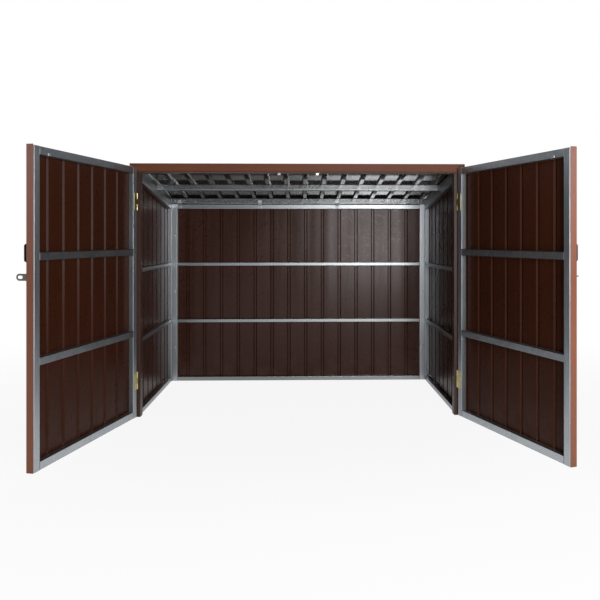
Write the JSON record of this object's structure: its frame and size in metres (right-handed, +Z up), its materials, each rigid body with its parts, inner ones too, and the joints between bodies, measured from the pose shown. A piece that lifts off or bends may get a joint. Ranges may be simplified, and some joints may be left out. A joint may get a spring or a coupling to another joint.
{
  "type": "bike shelter",
  "caption": "Low steel bike shelter: galvanised tube frames clad in brown ribbed sheet, a roof falling to the back and a pair of hinged front doors with a hasp.",
  "frame": {"origin": "on the ground, under the middle of the back wall's bottom rail", "axes": "+X to the right seen from the front, +Y from the doors to the back wall, +Z up"},
  "size_m": [2.5898, 1.9747, 1.5057],
  "materials": {
    "tube": "galvanised",
    "sheet": "satin",
    "trim": "satin",
    "hinge": "satin",
    "handle": "matt",
    "hasp": "zinc plated"
  },
  "bodies": {
    "shelter": {"back_bottom_rail": "tube", "back_girts": "tube", "back_sheet": "sheet", "back_stiles": "tube", "back_top_rail": "tube", "door_catches": "hasp", "frame_hinge_leaves": "hinge", "front_fascia": "trim", "left_jamb_trim": "sheet", "left_sheet": "sheet", "left_side_bottom_rail": "tube", "left_side_girts": "tube", "left_side_stiles": "tube", "left_side_top_rail": "tube", "rear_corner_trims": "trim", "right_jamb_trim": "sheet", "right_sheet": "sheet", "right_side_bottom_rail": "tube", "right_side_girts": "tube", "right_side_stiles": "tube", "right_side_top_rail": "tube", "roof_front_purlin": "tube", "roof_mid_purlin": "tube", "roof_rafters": "tube", "roof_rear_purlin": "tube", "roof_sheet": "sheet", "verge_trims": "trim"},
    "left_door": {"left_door_catch_plate": "hasp", "left_door_edge_trim": "trim", "left_door_handle": "handle", "left_door_hinge_leaves": "hinge", "left_door_rails": "tube", "left_door_sheet": "sheet", "left_door_stiles": "tube", "hasp_plate": "hasp"},
    "right_door": {"right_door_catch_plate": "hasp", "right_door_edge_trim": "trim", "right_door_handle": "handle", "right_door_hinge_leaves": "hinge", "right_door_rails": "tube", "right_door_sheet": "sheet", "right_door_stiles": "tube", "hasp_staple": "hasp"},
    "hasp": {"hasp_strap": "hasp"}
  },
  "joints": [
    {"name": "left_door_hinge", "type": "hinge", "parent": "shelter", "child": "left_door", "pos_m": [-0.953, -0.9975, 0.743], "axis": [0, 0, -1], "range_deg": [-103.85, 6.15]},
    {"name": "right_door_hinge", "type": "hinge", "parent": "shelter", "child": "right_door", "pos_m": [0.953, -0.9975, 0.743], "axis": [0, 0, 1], "range_deg": [-108.8, 1.2]},
    {"name": "hasp_hinge", "type": "hinge", "parent": "left_door", "child": "hasp", "pos_m": [-1.22027, -1.90233, 0.884], "axis": [0, 0, -1], "range_deg": [-90, 80]}
  ]
}
